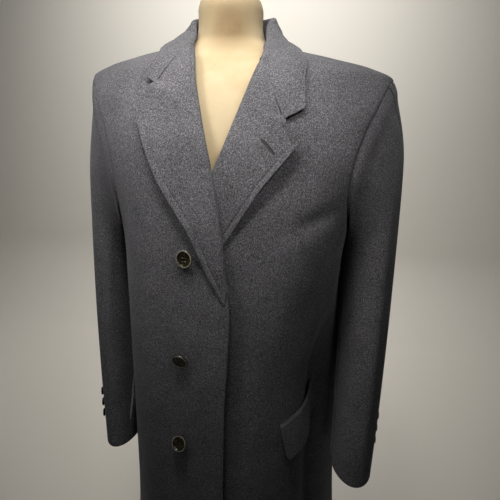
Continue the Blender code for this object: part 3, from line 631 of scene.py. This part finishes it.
def lapel_points(side):
    """A lapel: columns run from under the front's edge round the roll and out to the lapel's edge. The roll
    is a half circle about the front's edge, the face a straight blend of angle and height, with a belly and
    a lifted, stitched edge. Beside the points it gives the share of the wall, which thins to the break."""
    sign, edge, break_height, _ = FRONTS[side]
    outline, lift, lift_start, lift_whole = LAPELS[side]
    column = np.concatenate([np.linspace(-1.0, 0.0, 14)[:-1], crowded(56)])
    if sign < 0:
        column = column[::-1]
    column, up = np.meshgrid(column, np.linspace(0.0, 1.0, 170))
    station = np.linspace(0.0, 1.0, len(outline))
    roll_height = np.interp(up, station, outline[:, 0])
    trim = roll_trim(roll_height, break_height)
    roll_angle = front_angle(sections_at(edge, roll_height)[0] + sign * trim, roll_height)
    edge_angle = np.radians(np.interp(up, station, outline[:, 1]))
    edge_height = np.interp(up, station, outline[:, 2])
    across = np.clip(column, 0.0, 1.0)
    height = roll_height + (edge_height - roll_height) * across
    angle = roll_angle + (edge_angle - roll_angle) * across
    under = 0.0 * angle
    if sign < 0:
        inner = front_angle(sections_at(edge, height)[0] - trim, height)
        under = lap(angle, height) + curl(np.abs(angle - inner) * FRONT_REACH, height)
    free = smooth(roll_height - break_height, lift_start, lift_whole)
    stand_off = lift * (1.0 - smooth(up, 0.60, 0.66))
    belly = (0.0026 * np.sin(np.pi * across**0.6) + stand_off * across**2.5) * free
    belly = belly + 0.0014 * smooth(height, -0.07, 0.0)
    wide = np.hypot((edge_angle - roll_angle) * 0.160, edge_height - roll_height)
    belly = belly + stitched((1.0 - across) * wide) * smooth(up, 0.02, 0.08)
    radius = 0.5 * CLOTH + LAY
    turn = np.clip(-column, 0.0, 1.0) * np.pi
    out = under + 0.5 * CLOTH + radius * np.cos(turn) + belly
    beyond = radius * np.sin(turn) / sections_at(BODY, roll_height)[1]
    points = on_body(angle - sign * beyond, height, out) + TO_TIP
    return points, 0.25 + 0.75 * smooth(up, 0.0, 0.12)


# where the buttonhole starts and ends on the left lapel: share up the roll line, share across the face
HOLE_START, HOLE_END = (0.497, 0.49), (0.465, 0.80)
HOLE_HALF, TWIST_RADIUS, TWIST_BLACK = 0.0013, 0.0007, "#141417"


def hole_line(points, along):
    """Points of the lapel's outer face along the buttonhole, with the face's normals and the slit's way."""
    face = points + LAPEL_WALL * grid_normals(points)
    row = (HOLE_START[0] + (HOLE_END[0] - HOLE_START[0]) * along) * (len(points) - 1)
    column = 13 + np.interp(HOLE_START[1] + (HOLE_END[1] - HOLE_START[1]) * along, crowded(56), np.arange(56))
    low, left = np.floor(row).astype(int), np.floor(column).astype(int)
    up, over = (row - low)[:, None], (column - left)[:, None]

    def blended(grid):
        lower = grid[low, left] * (1.0 - over) + grid[low, left + 1] * over
        upper = grid[low + 1, left] * (1.0 - over) + grid[low + 1, left + 1] * over
        return lower * (1.0 - up) + upper * up

    line, normal = blended(face), blended(grid_normals(points))
    way = np.gradient(line, axis=0)
    return line, normal, way / np.linalg.norm(way, axis=-1, keepdims=True)


def worked_loop(points):
    """The buttonhole's edge: a cord of twist in a long narrow loop. The loop goes along the slit by half a
    cosine and to its two sides by a flattened sine, and the cord is a circle about it."""
    turn = np.linspace(0.0, math.tau, 161)
    line, normal, way = hole_line(points, 0.5 - 0.5 * np.cos(np.linspace(0.0, math.pi, 81)))
    there = np.concatenate([np.arange(81), np.arange(79, -1, -1)])
    line, normal, way = line[there], normal[there], way[there]
    aside = HOLE_HALF * np.sign(np.sin(turn)) * np.abs(np.sin(turn)) ** 0.4
    loop = line + aside[:, None] * np.cross(normal, way)
    run = np.gradient(loop, axis=0)
    out = np.cross(run, normal)
    out = out / np.maximum(np.linalg.norm(out, axis=-1, keepdims=True), 1e-9)
    ring = np.linspace(0.0, math.tau, 12, endpoint=False)[None, :, None]
    return loop[:, None] + TWIST_RADIUS * (np.cos(ring) * out[:, None] + np.sin(ring) * normal[:, None])


def slit_shade_strip(points):
    """The slit: a strip of painted shade in near black along the buttonhole's line, just above the lapel's
    face, for the dark of the cut between the twist cords.
    """
    line, normal, way = hole_line(points, np.linspace(0.01, 0.99, 40))
    across = np.linspace(-1.0, 1.0, 4)[None, :, None] * HOLE_HALF
    return line[:, None] + 0.0002 * normal[:, None] + across * np.cross(normal, way)[:, None]


for side in ("right", "left"):
    points, thin = lapel_points(side)
    cut_piece("lapel_" + side, points, wall=LAPEL_WALL, thin=thin)
twist = bpy.data.materials.new("silk_twist")
twist.use_nodes = True
twist.node_tree.nodes["Principled BSDF"].inputs["Base Color"].default_value = linear(TWIST_BLACK)
twist.node_tree.nodes["Principled BSDF"].inputs["Roughness"].default_value = 0.6
shaped("lapel_buttonhole_twist", worked_loop(points), twist, wraps=True)
# Painted shade: a near black strip stands in for the dark inside the buttonhole's cut.
shaped("lapel_buttonhole_slit_shade", slit_shade_strip(points), twist)


# Collar: one piece of the same cashmere over a stiffened stand, sewn to the neck and to both lapels.
# The stand rises close to the neck and rolls over, and the fall lies on the shoulders with two free corners.
# fold angle, fold height, edge angle, edge height, from the right end round the back to the left end
COLLAR = np.array([
    (-38.2, 0.0367, -45.6, -0.0140), (-51.5, 0.0500, -50.2, 0.0220), (-69.0, 0.0680, -68.0, 0.0370),
    (-93.0, 0.0850, -96.0, 0.0450), (-130.0, 0.0945, -133.0, 0.0390), (-180.0, 0.0985, -180.0, 0.0340),
    (-230.0, 0.0945, -227.0, 0.0390), (-270.0, 0.0865, -264.0, 0.0460), (-289.5, 0.0760, -297.0, 0.0350),
    (-304.0, 0.0500, -310.0, 0.0180), (-320.4, 0.0330, -318.6, -0.0080), (-334.6, 0.0147, -322.6, -0.0500),
])
# each gorge from the fold to the notch and on to the collar's corner: share of the fall, angle, height
GORGE_RIGHT = np.array([
    (0.0, -38.2, 0.0367), (0.125, -37.2, 0.0248), (0.375, -38.1, 0.0056), (0.625, -40.0, -0.0208),
    (1.0, -45.6, -0.0140),
])
GORGE_LEFT = np.array([
    (0.0, -334.6, 0.0147), (0.25, -336.0, -0.0145), (0.5, -334.7, -0.0395), (0.625, -332.1, -0.0632),
    (1.0, -322.6, -0.0500),
])
COLLAR_FALL = 0.055


def off_line(rows, column):
    """How far one column of a table runs off the straight line from its first row to its last."""
    values = rows[:, column]
    return values - values[0] - rows[:, 0] * (values[-1] - values[0])


def collar_points():
    """The collar: columns go round the neck, rows up the stand, over a half-round fold and down the fall. The
    fold rises square to its own line, which turns from level at the back to sloping at the two ends. There
    the fall bends to the line of the gorge, the notch and the front edge, whose corner stands off."""
    row = np.concatenate([
        np.linspace(0.0, 1 / 6, 12)[:-1], np.linspace(1 / 6, 1 / 3, 24)[:-1], np.linspace(1 / 3, 1.0, 90),
    ])
    round_neck, row = np.meshgrid(np.linspace(0.0, 1.0, 230), row)
    stations = np.column_stack([np.linspace(0.0, 1.0, len(COLLAR)), COLLAR])
    fold_angle, fold_height, edge_angle, edge_height = sections_at(stations, round_neck)
    from_middle = np.abs(2.0 * round_neck - 1.0)
    first = round_neck < 0.5
    end = smooth(from_middle, 0.70, 1.0)
    slope = 0.5 * np.pi * smooth(from_middle, 0.45, 1.0)
    rise = np.clip(row * 6.0, 0.0, 1.0)
    turn = np.clip((row - 1.0 / 6.0) * 6.0, 0.0, 1.0)
    fall = np.clip((row - 1.0 / 3.0) * 1.5, 0.0, 1.0)
    stand = np.clip(fold_height - NECK_RISE - 0.0012, 0.004, 1.0)
    inside = smooth(from_middle, 0.40, 0.75)
    middle, thick = 0.0031 - 0.0021 * inside, 0.0031 + 0.0006 * inside
    crest = thick * np.sin(np.pi * turn) - stand * (1.0 - rise)
    ends = (GORGE_RIGHT, GORGE_LEFT)
    bend_angle, bend_height = (
        np.where(first, *(np.interp(fall, gorge[:, 0], off_line(gorge, column)) for gorge in ends))
        for column in (1, 2)
    )
    angle = np.radians(fold_angle + (edge_angle - fold_angle) * fall + bend_angle * end)
    angle = angle + np.where(first, 1.0, -1.0) * crest * np.sin(slope) / sections_at(BODY, fold_height)[1]
    height = fold_height + (edge_height - fold_height) * fall + bend_height * end
    height = height + crest * np.cos(slope)
    bridge = 0.0060 * np.sin(np.pi * fall) * (1.0 - 0.7 * end)
    lifted = 0.0040 * fall**4 * smooth(from_middle, 0.62, 0.95)
    out = middle - thick * np.cos(np.pi * turn) - 0.0010 * fall + bridge + lifted
    out = out + stitched((1.0 - fall) * COLLAR_FALL)
    return on_body(angle, height, out) + TO_TIP


cut_piece("collar", collar_points(), wall=0.0022)


# Pocket flaps: a lined strip of the same cashmere on each front at the hip, sewn along its top edge.
# It slopes up toward the side seam, has rounded lower corners, and its front corner stands a little proud.
FLAP_LENGTH, FLAP_DEPTH, FLAP_TOP = 0.118, 0.068, -0.521
FLAP_SLANT, FLAP_CORNER, FLAP_PROUD, HIP_REACH = math.radians(20), 0.007, 0.0080, 0.182
FLAP_FRONT = {"right": math.radians(-56), "left": math.radians(31.4)}


def flap_points(side):
    """A flap: points of its front at a sloping length and depth, moved out. Each column's depth is cut short
    near the two ends by the round of the lower corners, and the flap bridges part of the fold behind it.
    Beside the points it gives the share of the wall, which thins to the top edge."""
    sign = -1 if side == "right" else 1
    share, up = np.meshgrid(crowded(90), crowded(46))
    share = share if sign > 0 else 1.0 - share
    length = FLAP_LENGTH * share
    from_end = np.minimum(length, FLAP_LENGTH - length)
    inset = np.clip(FLAP_CORNER - from_end, 0.0, None)
    short = FLAP_CORNER - np.sqrt(np.clip(FLAP_CORNER**2 - inset**2, 0.0, None))
    down = (FLAP_DEPTH - short) * (1.0 - up)
    height = FLAP_TOP + length * math.sin(FLAP_SLANT) - down
    angle = FLAP_FRONT[side] + sign * (length * math.cos(FLAP_SLANT) + 0.18 * down) / HIP_REACH
    under = lap(angle, height) if sign < 0 else 0.0 * angle
    proud = FLAP_PROUD * (1.0 - up) ** 1.3 * (1.0 - smooth(share, 0.2, 0.9))
    bridge = 0.2 * np.clip(-folded(angle, height), 0.0, 1.0)
    points = on_body(angle, height, under + CLOTH + LAY + 0.0004 + proud + bridge) + TO_TIP
    return points, 0.2 + 0.8 * smooth(1.0 - up, 0.0, 0.10)


for side in ("right", "left"):
    points, thin = flap_points(side)
    cut_piece("pocket_flap_" + side, points, thin=thin)


# Buttons: turned and polished dark horn with a raised rim, a dished middle and four holes.
# Three hold the fronts together, and three small ones sit beside each cuff vent.
# The last horn colour is a painted highlight: a pale ring laid on the crest of each front button's rim.
HORN_DARK, HORN_OLIVE, HORN_RIM_HIGHLIGHT = "#15140f", "#35311f", "#8c877a"
BUTTON_RADIUS, CUFF_BUTTON_RADIUS = 0.0127, 0.0075
# angle in degrees, height, tilt toward the wearer's right and upward in degrees
BUTTONS = ((-15.7, -0.2418, 14.0, 2.0), (-18.3, -0.3943, -4.0, -19.0), (-19.7, -0.5438, 2.0, 20.0))
CUFF_BUTTONS = (-0.612, -0.588, -0.564)
CUFF_ANGLE = {"right": math.radians(37), "left": math.radians(4)}
# share of the radius, height above the seat
RIM_PROFILE = np.array([
    (0.0, 0.0), (0.60, 0.0), (0.90, 0.0010), (0.985, 0.0022), (1.0, 0.0031), (0.975, 0.0041),
    (0.92, 0.0046), (0.85, 0.0046), (0.78, 0.0041), (0.70, 0.0031), (0.60, 0.0027), (0.0, 0.0026),
])


def button_points(radius, thick, seat, across, normal, hole=0.0011):
    """A button: its profile turned about the seat's normal, finely stepped, with four pits for the holes."""
    step = np.linspace(0.0, len(RIM_PROFILE) - 1.0, 110)
    stops = np.arange(len(RIM_PROFILE))
    profile = np.stack([np.interp(step, stops, part) for part in RIM_PROFILE.T], axis=-1)
    turn = np.linspace(0.0, math.tau, 128, endpoint=False)
    x, y = radius * profile[:, :1] * np.cos(turn), radius * profile[:, :1] * np.sin(turn)
    z = thick * profile[:, 1:] + 0.0 * turn
    spread = 0.0031 * radius / BUTTON_RADIUS
    pits = 0.0 * z
    for corner in range(4):
        middle = math.pi * (0.25 + 0.5 * corner)
        hole_x, hole_y = spread * math.cos(middle), spread * math.sin(middle)
        apart = np.hypot(x - hole_x, y - hole_y) / (hole * radius / BUTTON_RADIUS)
        pits = pits + np.exp(-(apart**6))
    z = z - np.where(step[:, None] > 6, np.minimum(0.0019 * thick, 0.75 * z) * pits, 0.0)
    other = np.cross(normal, across)
    return seat + x[..., None] * across + y[..., None] * other + z[..., None] * normal


def polished_horn(name):
    """Polished horn: near black with olive streaks 5 mm long, a painted highlight in pale grey on the crest
    of the rim, a hard gloss and fine turning marks 0.4 mm across."""
    made, tree, shader, place = fresh_finish(name)
    grain = add_node(tree, "ShaderNodeMapping", {"Scale": (1.0, 1.0, 0.3)}, [("Vector", place)])
    streak = add_node(tree, "ShaderNodeTexNoise", {"Scale": 1 / 0.005, "Detail": 4.0},
                      [("Vector", grain.outputs["Vector"])])
    tone = add_node(tree, "ShaderNodeValToRGB", {}, [("Fac", streak.outputs["Fac"])])
    tone.color_ramp.elements[0].position = 0.40
    tone.color_ramp.elements[0].color = linear(HORN_DARK)
    tone.color_ramp.elements[1].position = 0.68
    tone.color_ramp.elements[1].color = linear(HORN_OLIVE)
    rim = add_node(tree, "ShaderNodeAttribute", {"attribute_name": "rim"})
    rim_highlight = add_node(tree, "ShaderNodeMix", {"data_type": "RGBA", "B": linear(HORN_RIM_HIGHLIGHT)},
                    [("A", tone.outputs["Color"]), ("Factor", rim.outputs["Fac"])])
    tree.links.new(rim_highlight.outputs["Result"], shader.inputs["Base Color"])
    lines = add_node(tree, "ShaderNodeTexNoise", {"Scale": 1 / 0.0004}, [("Vector", place)])
    bump = add_node(tree, "ShaderNodeBump", {"Strength": 0.08, "Distance": 0.0001},
                    [("Height", lines.outputs["Fac"])])
    tree.links.new(bump.outputs["Normal"], shader.inputs["Normal"])
    shader.inputs["Roughness"].default_value = 0.20
    shader.inputs["IOR"].default_value = 1.55
    return made


def unit(vector):
    """A vector scaled to length 1."""
    return vector / np.linalg.norm(vector)


def mark_rim_highlight(piece, seat, normal, radius):
    """Marks the painted highlight on a button's rim: a bell across the crest, by the distance from the axis.
    """
    points = np.empty(3 * len(piece.data.vertices))
    piece.data.vertices.foreach_get("co", points)
    away = points.reshape(-1, 3) - seat
    high = away @ normal
    from_axis = np.linalg.norm(away - high[:, None] * normal, axis=1) / radius
    # Painted highlight: a pale ring on the rim's crest, in place of a reflection of the surroundings.
    rim_highlight = np.exp(-(((from_axis - 0.90) / 0.055) ** 2)) * smooth(high, 0.0030, 0.0044)
    piece.data.attributes.new("rim", "FLOAT", "POINT").data.foreach_set("value", rim_highlight.astype(np.float32))


horn = polished_horn("polished_horn")
for number, (degrees, height, aside, upward) in enumerate(BUTTONS, 1):
    angle = np.radians(degrees)
    shank = 0.0024 + 0.9 * BUTTON_RADIUS * math.sin(math.radians(math.hypot(aside, upward)))
    out = float(lap(np.array(angle), np.array(height))) + CLOTH + shank
    seat = on_body(angle, height, np.array(out)) + TO_TIP
    normal = unit(on_body(angle, height, np.array(out + 0.01)) + TO_TIP - seat)
    across = unit(np.cross(normal, np.array((0.0, 0.0, 1.0))))
    lean = np.array((0.0, 0.0, math.tan(math.radians(upward))))
    normal = unit(normal + math.tan(math.radians(aside)) * across + lean)
    across = unit(across - normal * np.dot(across, normal))
    node = "front_button_%d" % number
    piece = shaped(node + "_horn", button_points(BUTTON_RADIUS, 1.0, seat, across, normal), horn, wraps=True)
    mark_rim_highlight(piece, seat, normal, BUTTON_RADIUS)
    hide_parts(node)
for side in ARMS:
    grid = sleeve_half(side, CUFF_ANGLE[side] - 0.01, CUFF_ANGLE[side] + 0.01, SLEEVE_DROP)
    heights, normals = grid[:, 36, 2] - TIP, grid_normals(grid)[:, 36]
    for number, height in enumerate(CUFF_BUTTONS, 1):
        row = int(np.argmin(np.abs(heights - height)))
        normal = normals[row]
        across = unit(np.cross(normal, np.array((0.0, 0.0, 1.0))))
        seat = grid[row, 36] + 0.0012 * normal
        node = "cuff_button_%s_%d" % (side, number)
        points = button_points(CUFF_BUTTON_RADIUS, 0.7, seat, across, normal)
        piece = shaped(node + "_horn", points, horn, wraps=True)
        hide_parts(node)


# Studio: a pale floor that sweeps up into a pale backdrop. Soft lights stand above the front on both sides,
# a smaller one hangs overhead, and a weak fill and a light on the backdrop are added.
# The camera stands close in front at chest height, a little to the wearer's left, and looks down.
PALE, SWEEP_RADIUS, SWEEP_BACK = "#e4e0d8", 0.5, 2.0
CAMERA_PLACE = np.array((0.0826, -0.642, 1.2831))
YAW, PITCH, ROLL = (math.radians(angle) for angle in (5.31, 17.29, 1.34))
LENS = 36.0 * 380.0 / 500.0
# name, place, aim, size, spread in degrees, watts, colour
LIGHTS = (
    ("left_key", (-0.52, -0.60, 1.93), (-0.04, -0.06, 1.39), 0.30, 53.0, 0.78, "#fffaf2"),
    ("right_key", (0.42, -0.62, 1.85), (-0.04, -0.05, 1.37), 0.30, 55.0, 0.60, "#fffaf2"),
    ("top_key", (-0.05, -0.42, 2.05), (-0.04, -0.09, 1.37), 0.18, 50.0, 0.64, "#fffaf2"),
    ("weak_fill", (-0.6, -1.9, 1.9), (0.0, 0.0, 1.1), 1.2, 180.0, 0.8, "#eef1f6"),
    ("wall_light", (-0.16, 0.6, 3.0), (-0.16, 2.0, 1.3), 1.6, 110.0, 31.0, "#f6f4f0"),
)


def sweep_points():
    """The floor runs back, turns up in a quarter circle and rises, as one profile carried along X."""
    turn = np.linspace(0.0, np.pi / 2, 24)
    y = np.concatenate([[-4.0], SWEEP_BACK - SWEEP_RADIUS + SWEEP_RADIUS * np.sin(turn), [SWEEP_BACK]])
    z = np.concatenate([[0.0], SWEEP_RADIUS - SWEEP_RADIUS * np.cos(turn), [4.0]])
    x = np.linspace(4.5, -4.5, 2)
    return np.stack(np.broadcast_arrays(x, y[:, None], z[:, None] - 0.0005), axis=-1)


pale = bpy.data.materials.new("pale_matt_paper")
pale.use_nodes = True
pale.node_tree.nodes["Principled BSDF"].inputs["Base Color"].default_value = linear(PALE)
pale.node_tree.nodes["Principled BSDF"].inputs["Roughness"].default_value = 0.9
sweep_mesh = bpy.data.meshes.new("backdrop")
sweep = sweep_points()
cells = np.arange(len(sweep) - 1)[:, None] * 2 + np.array((0, 2, 3, 1))
sweep_mesh.from_pydata(sweep.reshape(-1, 3).tolist(), [], cells.tolist())
sweep_mesh.materials.append(pale)
sweep_mesh.shade_smooth()
backdrop = bpy.data.objects.new("backdrop", sweep_mesh)
bpy.context.scene.collection.objects.link(backdrop)

for name, place, aim, size, spread, watts, colour in LIGHTS:
    lamp = bpy.data.lights.new(name, "AREA")
    lamp.size = size
    lamp.spread = math.radians(spread)
    lamp.energy = watts
    lamp.color = linear(colour)[:3]
    lit = bpy.data.objects.new(name, lamp)
    toward = (Vector(aim) - Vector(place)).to_track_quat("-Z", "Y")
    lit.matrix_world = Matrix.Translation(place) @ toward.to_matrix().to_4x4()
    bpy.context.scene.collection.objects.link(lit)

world = bpy.data.worlds.new("soft_surround")
world.use_nodes = True
world.node_tree.nodes["Background"].inputs["Color"].default_value = linear("#f2f2f4")
world.node_tree.nodes["Background"].inputs["Strength"].default_value = 0.02
bpy.context.scene.world = world
bpy.context.scene.view_settings.view_transform = "Standard"

ahead = np.array((-math.sin(YAW) * math.cos(PITCH), math.cos(YAW) * math.cos(PITCH), -math.sin(PITCH)))
level = np.array((math.cos(YAW), math.sin(YAW), 0.0))
upright = np.cross(level, ahead)
right_way = math.cos(ROLL) * level + math.sin(ROLL) * upright
up_way = math.cos(ROLL) * upright - math.sin(ROLL) * level
camera = bpy.data.objects.new("camera", bpy.data.cameras.new("camera"))
camera.data.lens = LENS
camera.data.sensor_width = 36.0
axes = np.stack([right_way, up_way, -ahead], axis=1)
turned_to = [[*axis, place] for axis, place in zip(axes, CAMERA_PLACE)]
camera.matrix_world = Matrix(turned_to + [[0.0, 0.0, 0.0, 1.0]])
bpy.context.scene.collection.objects.link(camera)
bpy.context.scene.camera = camera
